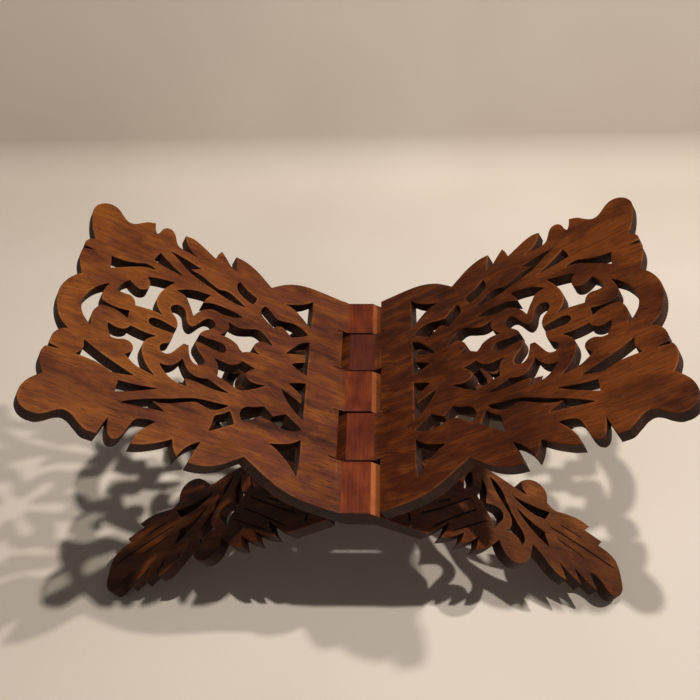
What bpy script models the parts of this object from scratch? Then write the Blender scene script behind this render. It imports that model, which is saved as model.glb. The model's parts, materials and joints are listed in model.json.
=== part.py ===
"""Folding book stand made from one fretworked board.

The board is sawn open to its middle from both ends and carved with interlocking knuckles where the
two saw cuts meet.  It then opens into an X of two halves.  Each half is one piece of wood: a wing
above the hinge, its knuckles, and the leg on the other side below the hinge.

World frame: X right, Y back, Z up from the floor.  The hinge axis lies along Y, above the origin.
Leaf frame of a half: X through the thickness, Y along the hinge, Z along the leaf, wing upwards.
The fretwork is drawn in millimetres on the nominal board as (reach from the hinge axis, place
along the hinge), and it is scaled to the board's real reach and width.
"""
import math

import bmesh
import bpy
from mathutils import Matrix, Vector

MM = 0.001

# Driving sizes, in millimetres and degrees.
BOARD_WIDTH = 202.0        # along the hinge
BOARD_THICKNESS = 19.0     # the plank before it was sawn into two leaves
WING_REACH = 221.0         # hinge axis to the end of a wing
LEG_REACH = 213.0          # hinge axis to the end of a foot
WING_SLOPE = 30.0          # rise of the open wings above level
LEAF_GAP = 0.3             # saw kerf left between the two leaves when folded flat
KNUCKLE_KERF = 1.0         # saw kerf between neighbouring knuckles
STOP_GAP = 0.25            # play left between window edge and leg when the stand is open
KNUCKLE_SETBACK = 3.45     # chiselled off a knuckle's edges, back from where a window edge swings
KNUCKLE_LENGTHS = (42.5, 43.5, 41.0, 40.0, 35.0)   # front to back, cut by eye
FOOT_FLAT = 1.1            # height worn off the feet where they stand
ARC_STEP = 4.4             # usual chord along a curved edge
WELD = 0.001               # corners closer than this are one corner

# The nominal drawing that the fretwork outlines below are written on.
DRAWN_WIDTH = 202.0
DRAWN_WING = 221.0
DRAWN_LEG = 213.0
DRAWN_WINDOW = 16.5

# What follows from the driving sizes.
LEAF = BOARD_THICKNESS / 2
HALF_GAP = LEAF_GAP / 2
HALF_WIDTH = BOARD_WIDTH / 2
FOLD = 90.0 - WING_SLOPE                                   # turn of each half from folded to open
STOP_REACH = LEAF * math.tan(math.radians(FOLD))           # hinge axis to where the leaves meet
WINDOW = STOP_REACH + STOP_GAP                             # hinge axis to the edge of a window
KNUCKLE_REACH = STOP_REACH - KNUCKLE_SETBACK               # where a flat top meets its own wing
SLOPE = math.radians(WING_SLOPE)
HINGE_HEIGHT = LEG_REACH * math.sin(SLOPE) + HALF_GAP * math.cos(SLOPE) - FOOT_FLAT

SHARP = True   # marks a corner of an outline; the points between two corners are one smooth curve

# Edge of a wing, from the front of the hinge outwards, along the end and back to the hinge.
WING_EDGE = [
    (16.5, -101, SHARP), (30, -101), (44, -99.8), (55, -96.8), (65, -92), (73, -87),
    (81, -82.3, SHARP), (87, -87.3), (94, -93.3), (102, -97.8), (109, -99.8),
    (115.5, -100.3, SHARP), (113.3, -92), (110.3, -82, SHARP), (115.5, -86.5), (119.8, -92),
    (123, -99, SHARP), (126, -93.5), (127.7, -87, SHARP), (132, -90.5), (138, -94.5), (145, -98.3),
    (151.3, -100.3, SHARP), (149.8, -93), (146, -86), (140, -78.5, SHARP), (146.5, -79.2),
    (151.8, -81.5), (154.5, -87), (156.3, -93.5), (158.7, -99), (162.3, -101), (165.3, -99),
    (167, -94), (168, -87, SHARP), (169.6, -93), (171.8, -101, SHARP), (178.5, -100.8),
    (184, -97), (188.7, -93.3), (193, -92), (197, -93.8), (201.3, -97.7), (206, -100.7),
    (211.3, -101), (216.3, -98.8), (219.7, -94), (220.6, -87.5), (218.8, -80.5), (215.3, -75),
    (211.6, -70.8, SHARP), (214.2, -67), (216.6, -61), (217.2, -55), (216, -50.2, SHARP),
    (206.5, -48.6, SHARP), (214.2, -47.4, SHARP), (214.8, -42), (214, -37), (211.2, -32.6),
    (207, -30, SHARP), (212.4, -26), (217, -19), (220, -10), (221, 0), (219.6, 8), (216.6, 15),
    (212, 21, SHARP), (214, 26.5), (216.2, 33), (217.2, 39.5), (217, 45.3, SHARP),
    (208, 47.6, SHARP), (216.5, 48.4, SHARP), (217, 52.6), (215, 56.3), (211.8, 58.5, SHARP),
    (214.8, 65), (217.8, 74), (219.8, 84), (220, 91), (217.2, 96.8), (212.5, 100.4), (207, 100.7),
    (202.5, 97.8), (198.5, 93.2), (194.5, 90), (190.5, 90.2), (186, 94), (181.5, 98.3),
    (175.6, 100.5, SHARP), (174.4, 94), (172.6, 89.6, SHARP), (171, 92.5), (169.3, 98),
    (166, 101), (162.4, 100.4), (159.6, 96.8), (157.6, 91), (155.4, 86.4), (151, 84), (145.5, 83.5),
    (138, 82, SHARP), (144, 85.6), (148.7, 91), (152, 100.4, SHARP), (145.8, 100.6), (139, 97.6),
    (132, 93), (125.8, 89, SHARP), (124.7, 95), (122.4, 99.9, SHARP), (118.6, 95),
    (113.7, 88, SHARP), (108.5, 83.8, SHARP), (109.4, 92), (110.8, 100.3, SHARP), (104, 99.8),
    (97, 97), (90, 92.4), (84.5, 87.4), (79, 82.5, SHARP), (73, 88.3), (66, 93.8), (57, 98.2),
    (47, 100.5), (34, 101), (16.5, 101, SHARP),
]

# Openings of a wing's back half.
WING_BACK_HOLES = {
    "hinge_triangle": [
        (43.5, 86, SHARP), (50, 79.5), (58, 74.3), (66, 70.8, SHARP), (58, 68.3), (50, 61.5),
        (43.5, 54.5, SHARP)],
    "bean": [
        (45, 47, SHARP), (51, 51.5), (58, 53), (65, 51.6), (71, 51), (76, 55.3), (81, 60, SHARP),
        (83.6, 56.5), (84, 50.5), (79.5, 45), (73, 40.5, SHARP), (70, 44), (66, 44.8), (62, 41.3),
        (58.5, 38, SHARP), (51.5, 42)],
    "fan": [
        (43.5, 40, SHARP), (50, 35.8), (55, 29.5), (61.5, 19.6, SHARP), (53.5, 22.8),
        (45.8, 26, SHARP), (45.6, 18, SHARP), (50.5, 15.6), (56.2, 11.5, SHARP), (51, 8.6),
        (43.5, 5.5, SHARP)],
    "ribbon": [
        (71.5, 21.5, SHARP), (77.5, 28.5), (84.5, 32.3), (92, 29.2), (98.5, 27), (107, 29, SHARP),
        (105.7, 23.5), (107.3, 18), (111.5, 13.5, SHARP), (104.5, 13.2), (98.5, 10.7), (95.6, 7),
        (93.3, 5, SHARP), (88, 8), (80, 8.6, SHARP), (85.2, 12.5), (85, 18), (80, 22.6)],
    "lens_and_kite": [
        (97, 38.5, SHARP), (104, 40.8), (113, 41.4), (121, 40.8), (128, 37.6, SHARP), (126.6, 42.5),
        (123.5, 48.5, SHARP), (131.5, 47.6), (140, 45.2), (148.5, 39.5, SHARP), (141.5, 37.6),
        (137, 31), (132.5, 21.5, SHARP), (129.7, 27), (125.5, 32), (119.5, 34.8), (112.5, 33.8),
        (104.5, 35.2)],
    "hook": [
        (150.5, 47, SHARP), (158, 45.5), (165, 43.7), (170, 41.5, SHARP), (167.3, 37.5),
        (166.8, 32.5), (168.8, 28.8), (172.5, 27.4), (176.5, 28.8), (180.5, 32, SHARP),
        (183.8, 27.5), (186.5, 18.2, SHARP), (182, 17.6), (177.3, 18), (174, 15.5),
        (172, 10.5, SHARP), (166, 11.4), (159.5, 12), (152.5, 11, SHARP), (157, 15.5),
        (159.4, 21.5), (159.2, 28.5), (157.2, 35), (154.3, 41)],
    "leaf_vein": [
        (96, 50, SHARP), (103, 54.6), (108.5, 58), (113.5, 59), (118.5, 57.8), (125, 60.3),
        (133.5, 64.7), (142.3, 66.3, SHARP), (138.5, 69), (134, 71.3, SHARP), (143, 74), (152, 76),
        (160.5, 77.5, SHARP), (152.5, 71.8), (144.5, 64.8), (135, 59.6), (124, 55.6), (112, 51.2),
        (103, 49.6)],
    "stem_wedge": [
        (145, 56, SHARP), (153, 60.8), (160, 66), (166, 71, SHARP), (168, 66), (169, 61, SHARP),
        (161, 58.6)],
    "end_slot": [
        (165, 51.5, SHARP), (169.5, 53.8), (174.5, 54, SHARP), (181, 50.7), (188.5, 48.6),
        (197.5, 48, SHARP), (196.3, 42.5), (195.5, 36.5, SHARP), (188, 41.6), (180.5, 46.6),
        (173.5, 50.3)],
    "rhomb": [
        (89, 64.5, SHARP), (95.5, 67.7), (100, 71), (104, 75, SHARP), (105.6, 70.5),
        (104.6, 64.3), (99.5, 59.5), (91.7, 56, SHARP), (89.6, 60.3)],
}

# Openings of a wing's front half, sawn by hand to the same drawing and so a little different.
WING_FRONT_HOLES = {
    "hinge_triangle": [
        (43.5, -53, SHARP), (50, -58.8), (57.5, -62.3), (65.5, -65, SHARP), (58, -69.3),
        (51, -75.7), (44.5, -84, SHARP), (43.5, -70)],
    "bean": [
        (43.5, -44.5, SHARP), (49, -48), (55.5, -49.5), (62, -48.4), (68, -46.2), (74.5, -46.8),
        (80.3, -51), (85, -55.5, SHARP), (88, -50), (87.2, -45), (84, -41.6), (79, -39.6),
        (72, -36, SHARP), (68.5, -38.8), (65, -42, SHARP), (60.3, -38.8), (56, -36, SHARP),
        (50, -40)],
    "fan": [
        (43.5, -1.5, SHARP), (50, -4.3), (56.5, -7.5, SHARP), (51.5, -10.8), (45.8, -14.5, SHARP),
        (45.8, -22, SHARP), (54, -18), (61.5, -15, SHARP), (58, -21.5), (53, -28),
        (43.5, -36, SHARP)],
    "comma": [
        (82.3, -5.4, SHARP), (87.3, -4.4), (92, -3, SHARP), (94.6, -7), (99.3, -10.2),
        (105.5, -10.5), (112.5, -9.5, SHARP), (109.3, -13.5), (107.8, -18.5), (107.6, -24.8, SHARP),
        (100.5, -26.6), (95.3, -28.7), (89.8, -29.4), (83.8, -26), (78, -21.5), (73, -17, SHARP),
        (80, -19), (86, -18), (88.8, -14), (86.3, -9.3)],
    "lens_and_kite": [
        (97.5, -35.5, SHARP), (105, -33.4), (113.5, -30, SHARP), (120.5, -31.8), (127, -29.7),
        (133, -20.5, SHARP), (136.3, -27), (141, -30.9), (147, -31.6, SHARP), (143.8, -35.8),
        (139.5, -39.5), (134, -42), (126, -42.5, SHARP), (127.4, -39.8), (128.5, -36.6, SHARP),
        (121.5, -36), (113.5, -37), (105, -37)],
    "hook": [
        (153, -9.5, SHARP), (160, -10), (166, -9.6), (171.5, -8.6, SHARP), (172.6, -11.8),
        (175.7, -14.3), (179.5, -14.9), (185.5, -13.2, SHARP), (184.2, -18.5), (181, -24.5, SHARP),
        (177.2, -24.4), (173.2, -22.4), (169, -22.7), (166, -25.3), (165.7, -29.7),
        (169.5, -34.5, SHARP), (165.3, -37.8), (160, -40.8), (147.5, -43.5, SHARP), (153.3, -38.5),
        (157.8, -32), (160.4, -25), (160.2, -18.3), (157.4, -13.4)],
    "leaf_vein": [
        (96.5, -46, SHARP), (105, -47.4), (112.5, -48.5), (119.5, -50), (126.5, -53), (133, -56.3),
        (141, -60.2), (149, -63.8), (156.5, -68), (164, -73, SHARP), (155, -71.8), (146, -70.3),
        (136, -68.7, SHARP), (140.5, -66.4), (145.3, -63.8, SHARP), (139, -62.7), (131.5, -59.4),
        (124, -55.2), (118, -52.6), (112.5, -53.8), (106, -54.1), (100.7, -50.6)],
    "stem_wedge": [
        (143.5, -52.5, SHARP), (152, -54.6), (160.5, -56.2), (168.5, -57, SHARP),
        (168.5, -66.5, SHARP), (160.3, -62.4), (152, -57.8)],
    "end_slot": [
        (160, -49, SHARP), (170.5, -45.5), (182.5, -41), (196, -34.5, SHARP), (194.7, -39.5),
        (195, -43.5), (198, -48.2, SHARP), (190, -48.3), (182.5, -49.2), (174, -52.5, SHARP),
        (167, -51.2)],
    "rhomb": [
        (95, -50, SHARP), (98.5, -53.5), (104.3, -58, SHARP), (105.2, -64), (106.5, -72, SHARP),
        (100.3, -67), (91, -59.5, SHARP), (92.6, -55)],
}

# Openings on a wing's middle line.
WING_MIDDLE_HOLES = {
    "star": [
        (118.8, 24.6), (116.3, 22.6), (116, 19.8), (118.3, 15.8), (122.4, 12), (124.7, 9),
        (125.6, 6, SHARP), (119, 5.5), (112.5, 6), (107, 5.3), (105.1, 1.8), (106.3, -1.9),
        (111.5, -2.9), (118.5, -1.6), (127, -0.6, SHARP), (126.6, -5), (123.8, -9), (119.8, -13.4),
        (118.2, -17.2), (120.3, -20.4), (124, -21.3), (127.5, -18.7), (129.5, -14),
        (131, -7.2, SHARP), (134.6, -7.2, SHARP), (137.8, -13), (141.3, -19.3), (144.2, -21.6),
        (147.8, -21), (149.5, -17.4), (147.9, -13.9), (144.3, -11.4), (143, -7.5),
        (142.6, -1.7, SHARP), (151, -2.1), (158.6, -1.8), (161, 1.2), (160, 4.7), (156, 6.1),
        (149.5, 5.3), (141.6, 3.4, SHARP), (141.6, 8), (143.4, 12.6), (147, 16.5), (149, 20.6),
        (147.6, 24.5), (143.8, 26.2), (139.8, 24.8), (138, 21), (136.6, 15.8), (134.4, 12),
        (131.9, 11), (129.7, 12.8), (127.2, 17), (124.6, 21.4), (121.8, 24.4)],
    "crescent": [
        (192.5, 22, SHARP), (198.4, 15.8), (202.3, 8.8), (204.6, 1.5), (205, -4.5), (203.3, -11.3),
        (199.8, -16.6), (195, -21.5, SHARP), (196.6, -14.5), (196.6, -7.5), (193.8, -0.5, SHARP),
        (188, 0.4), (181.5, -0.4), (174.5, -3.5, SHARP), (174.8, 3.9, SHARP), (181, 2.5),
        (187.5, 2.6), (193.8, 4.6, SHARP), (195, 9), (194.6, 15)],
}

# Front half of a leg's edge, from the hinge along the front to the foot and in to the arch.
LEG_EDGE = [
    (16.5, -101, SHARP), (47, -101, SHARP), (56, -94.3), (64.5, -86.5, SHARP), (61.5, -94),
    (57, -100.7, SHARP), (67.5, -96.3), (76.5, -90.3, SHARP), (74.8, -95.2), (71.5, -100.7, SHARP),
    (80, -96.6), (88, -90, SHARP), (86.9, -95), (84.5, -100.7, SHARP), (92, -97.8), (99, -92.7),
    (105.3, -86.5, SHARP), (107.2, -92.5), (110.8, -97.7), (116, -100.4), (122, -99.6),
    (127.4, -96.1), (131, -91), (133, -85.8), (134.4, -80.5, SHARP), (140.3, -85.8), (147, -93),
    (153, -98.2), (160, -100.7, SHARP), (156.5, -88, SHARP), (164, -94.6), (173, -101, SHARP),
    (169.5, -88.5, SHARP), (177.5, -95.4), (187, -101, SHARP), (183, -88, SHARP), (188.3, -88.8),
    (193, -93), (197.3, -98.7), (202.5, -101), (208.3, -98.7), (212.3, -92.5, SHARP),
    (213, -86, SHARP), (213, -77, SHARP), (211.5, -70, SHARP), (206, -65), (197, -61.5, SHARP),
    (201, -57, SHARP), (194, -54.2), (186, -51.5, SHARP), (191.5, -47, SHARP), (185, -44),
    (176, -42.7), (167, -42.9), (160, -43.2), (154, -38.5, SHARP), (155.1, -33), (154, -27.6),
    (150.3, -23.6), (145, -22), (138.6, -23), (132, -27, SHARP), (132.3, -32.5),
    (136.5, -38.5, SHARP), (127, -36), (116, -32), (104, -28.6), (92, -26.5), (80, -22.7),
    (70, -14.5), (62, 0, SHARP),
]

# Openings of a leg's front half; the back half mirrors them.
LEG_HOLES = {
    "hinge_triangle": [
        (39, -42, SHARP), (47.5, -49.8), (57, -56.3, SHARP), (48, -60.5), (39, -67, SHARP)],
    "short_slot": [
        (86.5, -35.5, SHARP), (87.2, -42), (85.5, -48.5), (82.5, -53.2, SHARP),
        (79.3, -52.5, SHARP), (80.6, -44.5), (83, -39.3)],
    "paisley": [
        (94.5, -38, SHARP), (97.8, -42), (98.8, -48), (98, -54), (97.6, -59, SHARP), (103, -58.5),
        (108.2, -59.2), (111.2, -62.8), (110.5, -67.8), (106.6, -72.8), (102, -79, SHARP),
        (101.4, -73), (98, -67), (94.3, -61.4), (90.3, -55.5, SHARP), (93.6, -49), (94.9, -43)],
    "long_ess": [
        (102.5, -33, SHARP), (109, -37.5), (113.8, -44.7), (116.6, -53), (119.4, -60), (123.3, -67),
        (127, -73.4), (127.8, -79), (124.8, -84.8, SHARP), (122.3, -79.6), (118, -77.1),
        (112, -76.5, SHARP), (116.8, -72.6), (118.4, -67), (117, -61.3), (113.3, -55.5),
        (108.8, -48.5), (105.3, -41)],
    "inner_wedge": [
        (121, -43, SHARP), (132, -45.6), (144, -46.7), (155, -46.8, SHARP), (149, -55, SHARP),
        (140, -53.9), (130.5, -50)],
    "outer_wedge": [
        (123.5, -52.5, SHARP), (129.5, -57.2), (138, -62.3), (147.5, -66.5, SHARP), (147.8, -71.5),
        (149.5, -78, SHARP), (141, -72.8), (133.4, -66), (127.5, -59.3)],
}


def spread(run):
    """Tangents, per millimetre of chord, at the points of one smooth run."""
    chords = [(b - a).length for a, b in zip(run, run[1:])]
    inner = [(run[i + 1] - run[i - 1]) / (chords[i] + chords[i - 1]) for i in range(1, len(run) - 1)]
    if not inner:
        straight = (run[1] - run[0]) / chords[0]
        return chords, [straight, straight]
    first = 1.5 * (run[1] - run[0]) / chords[0] - 0.5 * inner[0]
    last = 1.5 * (run[-1] - run[-2]) / chords[-1] - 0.5 * inner[-1]
    return chords, [first] + inner + [last]


def smooth(run):
    """Points along the curve through a run, without its last point."""
    if len(run) == 2:
        return [run[0]]
    chords, tangents = spread(run)
    points = []
    for i, chord in enumerate(chords):
        steps = max(1, round(chord / ARC_STEP))
        for k in range(steps):
            s = k / steps
            start = (1 + 2 * s) * (1 - s) ** 2 * run[i] + s * (1 - s) ** 2 * chord * tangents[i]
            end = s * s * (3 - 2 * s) * run[i + 1] - s * s * (1 - s) * chord * tangents[i + 1]
            points.append(start + end)
    return points


def outline(drawn):
    """Close a drawn outline: curves between its corners, sampled into straight chords."""
    corners = [i for i, point in enumerate(drawn) if len(point) == 3]
    places = [Vector(point[:2]) for point in drawn]
    first = corners[0]
    places = places[first:] + places[:first] + [places[first]]
    stops = [i - first for i in corners] + [len(places) - 1]
    points = []
    for start, end in zip(stops, stops[1:]):
        points += smooth(places[start:end + 1])
    return points


def mirrored(drawn):
    """The same outline on the other side of the middle line."""
    return [(point[0], -point[1], *point[2:]) for point in reversed(drawn)]


def placed(points, drawn_reach, reach):
    """Drawing millimetres to the real leaf: the window edge and the leaf's end both stay put."""
    along = (reach - WINDOW) / (drawn_reach - DRAWN_WINDOW)
    across = BOARD_WIDTH / DRAWN_WIDTH
    return [Vector((WINDOW + (p.x - DRAWN_WINDOW) * along, p.y * across)) for p in points]


def wing_outlines():
    """The wing's edge, then its openings."""
    drawings = [WING_EDGE]
    for group in (WING_BACK_HOLES, WING_FRONT_HOLES, WING_MIDDLE_HOLES):
        drawings += group.values()
    return [placed(outline(drawn), DRAWN_WING, WING_REACH) for drawn in drawings]


def leg_outlines():
    """The leg's edge, closed by its mirror image, then the openings of both halves."""
    drawings = [LEG_EDGE + mirrored(LEG_EDGE)[1:]]
    for hole in LEG_HOLES.values():
        drawings += [hole, mirrored(hole)]
    return [placed(outline(drawn), DRAWN_LEG, LEG_REACH) for drawn in drawings]


def sheet_mesh(outlines, thickness):
    """A flat board from closed outlines: a filled 2D curve, thickened both ways."""
    curve = bpy.data.curves.new("sheet", "CURVE")
    curve.dimensions = "2D"
    curve.fill_mode = "BOTH"
    curve.extrude = thickness / 2
    for points in outlines:
        spline = curve.splines.new("POLY")
        spline.points.add(len(points) - 1)
        for spot, point in zip(spline.points, points):
            spot.co = (point.x, point.y, 0, 1)
        spline.use_cyclic_u = True
    holder = bpy.data.objects.new("sheet", curve)
    mesh = bpy.data.meshes.new_from_object(holder)
    bpy.data.objects.remove(holder)
    bpy.data.curves.remove(curve)
    return mesh


def add_sheet(shape, outlines, up, side):
    """Add a wing (up = 1) or leg (up = -1) to a shape, on the given side of the axis plane."""
    mesh = sheet_mesh(outlines, LEAF - HALF_GAP)
    known = len(shape.verts)
    shape.from_mesh(mesh)
    bpy.data.meshes.remove(mesh)
    shape.verts.ensure_lookup_table()
    middle = side * (LEAF + HALF_GAP) / 2
    for vertex in shape.verts[known:]:
        reach, along, through = vertex.co
        vertex.co = (middle + through, along, up * reach)


def knuckle_section(hand):
    """Section of a knuckle in the leaf frame, from one corner where it meets its wing."""
    wing_side = [(-HALF_GAP, WINDOW), (-LEAF, WINDOW), (-LEAF, KNUCKLE_SETBACK),
                 (-HALF_GAP, -KNUCKLE_REACH)]
    leg_side = [(-x, -z) for x, z in wing_side]
    return [(-hand * x, z) for x, z in wing_side + leg_side]


def knuckle_ends(owned):
    """Front and back ends of a half's own knuckles, with half a kerf off each inner end."""
    scale = BOARD_WIDTH / sum(KNUCKLE_LENGTHS)
    last = len(KNUCKLE_LENGTHS) - 1
    ends = []
    front = -HALF_WIDTH
    for i, length in enumerate(KNUCKLE_LENGTHS):
        back = HALF_WIDTH if i == last else front + length * scale
        if i % 2 == owned:
            trim_front = KNUCKLE_KERF / 2 if i > 0 else 0
            trim_back = KNUCKLE_KERF / 2 if i < last else 0
            ends.append((front + trim_front, back - trim_back))
        front = back
    return ends


def hinge_edge(ends):
    """Places on the hinge edge of a leaf where knuckles begin and end, from back to front."""
    places = sorted((y for pair in ends for y in pair if abs(y) < HALF_WIDTH), reverse=True)
    return [Vector((WINDOW, y)) for y in places]


def open_roots(shape, ends):
    """Take away the hinge-edge faces that the knuckles grow from."""
    def is_root(face):
        middle = face.calc_center_median()
        flat = all(abs(abs(vertex.co.z) - WINDOW) < WELD for vertex in face.verts)
        return flat and any(front < middle.y < back for front, back in ends)
    roots = [face for face in shape.faces if is_root(face)]
    bmesh.ops.delete(shape, geom=roots, context="FACES_ONLY")


def add_knuckle(shape, section, front, back):
    """Add a knuckle's ends and sides, open where it meets its wing and its leg."""
    near = [shape.verts.new((x, front, z)) for x, z in section]
    far = [shape.verts.new((x, back, z)) for x, z in section]
    shape.faces.new(near)
    shape.faces.new(far)
    root_sides = (0, len(section) // 2)
    for i in range(len(section)):
        if i not in root_sides:
            j = (i + 1) % len(section)
            shape.faces.new((near[i], near[j], far[j], far[i]))


def half_shape(hand, owned):
    """One half in the leaf frame: a wing, its knuckles and the leg across the axis."""
    ends = knuckle_ends(owned)
    wing = wing_outlines()
    leg = leg_outlines()
    shape = bmesh.new()
    add_sheet(shape, [wing[0] + hinge_edge(ends)] + wing[1:], 1, hand)
    add_sheet(shape, [leg[0] + hinge_edge(ends)] + leg[1:], -1, -hand)
    bmesh.ops.remove_doubles(shape, verts=shape.verts, dist=WELD)
    open_roots(shape, ends)
    for front, back in ends:
        add_knuckle(shape, knuckle_section(hand), front, back)
    bmesh.ops.remove_doubles(shape, verts=shape.verts, dist=WELD)
    return shape


def ground_shape():
    """A block under the floor, wider than the stand."""
    shape = bmesh.new()
    bmesh.ops.create_cube(shape, size=2 * (WING_REACH + BOARD_WIDTH))
    bmesh.ops.translate(shape, verts=shape.verts, vec=(0, 0, -WING_REACH - BOARD_WIDTH))
    return shape


def finish(name, shape, place, collection):
    """Put a shape where it belongs, face it outwards, and link it as an object in metres."""
    bmesh.ops.transform(shape, matrix=Matrix.Scale(MM, 4) @ place, verts=shape.verts)
    bmesh.ops.recalc_face_normals(shape, faces=shape.faces)
    mesh = bpy.data.meshes.new(name)
    shape.to_mesh(mesh)
    shape.free()
    part = bpy.data.objects.new(name, mesh)
    collection.objects.link(part)
    return part


def wood(name, colour):
    """A varnished wood material of its own for one half."""
    material = bpy.data.materials.new(name)
    material.use_nodes = True
    shader = material.node_tree.nodes["Principled BSDF"]
    shader.inputs["Base Color"].default_value = (*colour, 1)
    shader.inputs["Roughness"].default_value = 0.4
    return material


def half(name, hand, owned, colour, parts, floor):
    """One half of the stand: hand = -1 has its wing on the left, +1 on the right."""
    turn = Matrix.Rotation(math.radians(hand * FOLD), 4, "Y")
    place = Matrix.Translation((0, 0, HINGE_HEIGHT)) @ turn
    body = finish(name, half_shape(hand, owned), place, parts)
    body.data.materials.append(wood(name + "_sheesham", colour))
    trim = body.modifiers.new("standing_flats", "BOOLEAN")
    trim.operation = "DIFFERENCE"
    trim.solver = "EXACT"
    trim.object = floor


def new_collection(name):
    """A collection linked to the scene."""
    collection = bpy.data.collections.new(name)
    bpy.context.scene.collection.children.link(collection)
    return collection


def main():
    for old in list(bpy.data.objects):
        bpy.data.objects.remove(old)
    parts = new_collection("bible_stand")
    cutters = new_collection("cutters")
    floor = finish("floor_cutter", ground_shape(), Matrix(), cutters)
    floor.hide_render = True
    floor.display_type = "WIRE"
    half("left_wing_half", -1, 0, (0.20, 0.065, 0.025), parts, floor)
    half("right_wing_half", 1, 1, (0.16, 0.05, 0.02), parts, floor)


main()
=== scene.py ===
"""Looks of the folding book stand: two fretworked halves of one varnished board.

Each half is cut again here from the same drawing as its solid, with finer curves, rounded arrises,
the carver's veins and the saw's overcuts, and it rides on that solid's body.

World frame: X right, Y back, Z up from the floor, in metres.
Leaf frame of a half, in millimetres: X through the thickness, Y along the hinge, Z along the leaf,
wing upwards.  Outlines are drawn as (reach from the hinge axis, place along the hinge).
"""
import json
import math

import bmesh
import bpy
from mathutils import Matrix, Vector, geometry, kdtree, noise


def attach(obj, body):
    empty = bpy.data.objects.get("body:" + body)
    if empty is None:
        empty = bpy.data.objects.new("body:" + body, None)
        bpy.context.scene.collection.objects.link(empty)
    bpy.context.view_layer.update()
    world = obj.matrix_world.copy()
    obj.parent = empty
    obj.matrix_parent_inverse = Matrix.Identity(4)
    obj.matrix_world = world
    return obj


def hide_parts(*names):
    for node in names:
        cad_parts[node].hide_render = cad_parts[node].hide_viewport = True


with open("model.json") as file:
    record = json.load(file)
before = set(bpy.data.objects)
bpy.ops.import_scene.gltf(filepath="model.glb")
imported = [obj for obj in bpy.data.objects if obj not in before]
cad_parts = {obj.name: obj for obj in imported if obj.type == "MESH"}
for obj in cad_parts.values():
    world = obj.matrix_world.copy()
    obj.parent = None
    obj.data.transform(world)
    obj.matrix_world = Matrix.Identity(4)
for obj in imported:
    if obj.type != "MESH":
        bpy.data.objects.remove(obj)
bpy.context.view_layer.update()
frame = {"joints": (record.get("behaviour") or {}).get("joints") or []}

MM = 0.001

# Sizes of the board and its joint, as the solids have them.
BOARD_WIDTH = 202.0
BOARD_THICKNESS = 19.0
WING_REACH = 221.0
LEG_REACH = 213.0
WING_SLOPE = 30.0
LEAF_GAP = 0.3
KNUCKLE_KERF = 1.0
STOP_GAP = 0.25
KNUCKLE_SETBACK = 3.45
KNUCKLE_LENGTHS = (42.5, 43.5, 41.0, 40.0, 35.0)   # front to back

# Handwork that only shows close up.
CURVE_STEP = 1.3           # chord along a curved edge
STRAIGHT_STEP = 2.2        # chord along a straight one
ROUNDING = 0.55            # radius sanded on the arrises
FACE_STEP = 3.4            # spacing of points over a face
HAND_PLANING = 0.16        # deepest hollow left by hand planing
OVERCUT_WIDTH = 0.8        # saw kerfs that run on past the windows
VEIN_DEPTH = 1.1           # carver's veins in the legs
KNUCKLE_END_ROUNDING = 0.45    # sanded off a knuckle's end edges
KNUCKLE_ARRIS = 2.2        # radius along a knuckle's long arris
KERF_STAIN = 3.0           # how far stain and dirt creep from a kerf
FAR_FROM_RIM = 6.0         # rim distance written where no edge is near
WELD = 0.0005              # points closer than this are one
CREASE = 50.0              # arrises sharper than this in degrees are drawn sharp

# How a rounded arris is cut: shares of its radius into the face and down the wall.
ARRIS_ROWS = ((1.0, 0.0), (0.293, 0.293), (0.0, 1.0))
MITRE_AT_TIP = 2.5         # longest mitre at a pointed tip, in radii
MITRE_AT_NOTCH = 1.25      # and at a notch
TAPER = 0.4                # how fast a radius may change along an edge
SAMPLE_STEP = 0.4          # spacing of the points that distances are measured to
RIM_ROW = 1.5              # how far the first row of face points stands from the rim
ROW_RATIO = 0.866          # row spacing of an even triangular spread
PLANING_WAVE = 26.0        # length of a hollow left by the plane
HOLLOW_FROM = 1.0          # distance from an edge where a hollow starts
HOLLOW_SLOPE = 3.0         # and the distance over which it reaches its depth
OTHER_FACE = 40.0          # shift of the hollows between a board's two faces
CHORD_SHARE = 0.45         # most of a chord that a rounding may use up
LOOK_AHEAD = 1.3           # how far past its radius a rounding looks for other edges
CLEAR_BY = 1.15            # and how many radii it has to be clear of them
SHRINK = 0.8               # each try at a smaller rounding
LEAST_ROUNDING = 0.02
LEAST_TURN = 0.01          # keeps a mitre finite where an edge doubles back
LEAST_REACH = 0.05
NEAR_RIM = 0.9             # shares of RIM_ROW that face points keep from other edges
OFF_RIM = 1.6
VEIN_TAPER = 4.0           # how quickly a vein opens from its ends
OVERCUT_END = 0.8          # share of a saw kerf's width where its round end starts
KNUCKLE_RIMS = (0.0, 0.6, FAR_FROM_RIM)    # rim distances written at a knuckle's rings
CLOSE = 1e-6               # plane points nearer than this are one

# Colours of the varnished faces: dark streaks, body, worn ends and rubbed arrises.
LEFT_COLOURS = ("3C1C11", "6C3722", "864C1A", "9C6430")
# The right half's colours are darker than the left half's throughout.
RIGHT_COLOURS = ("280F06", "502511", "743C15", "864C24")
VARNISH_SHINE = 0.15       # how strongly the varnish mirrors
KNOT_SIZES = (45.0, 55.0, 90.0)    # of the grain's wandering, along each axis of the leaf
KNOT_PUSH = (10.0, 26.0, 0.0)      # and how far it wanders
HANDLED_FROM = 70.0        # distance from the hinge where hands begin to wear the faces
HANDLED_TO = 165.0         # and where the wear is full

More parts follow.
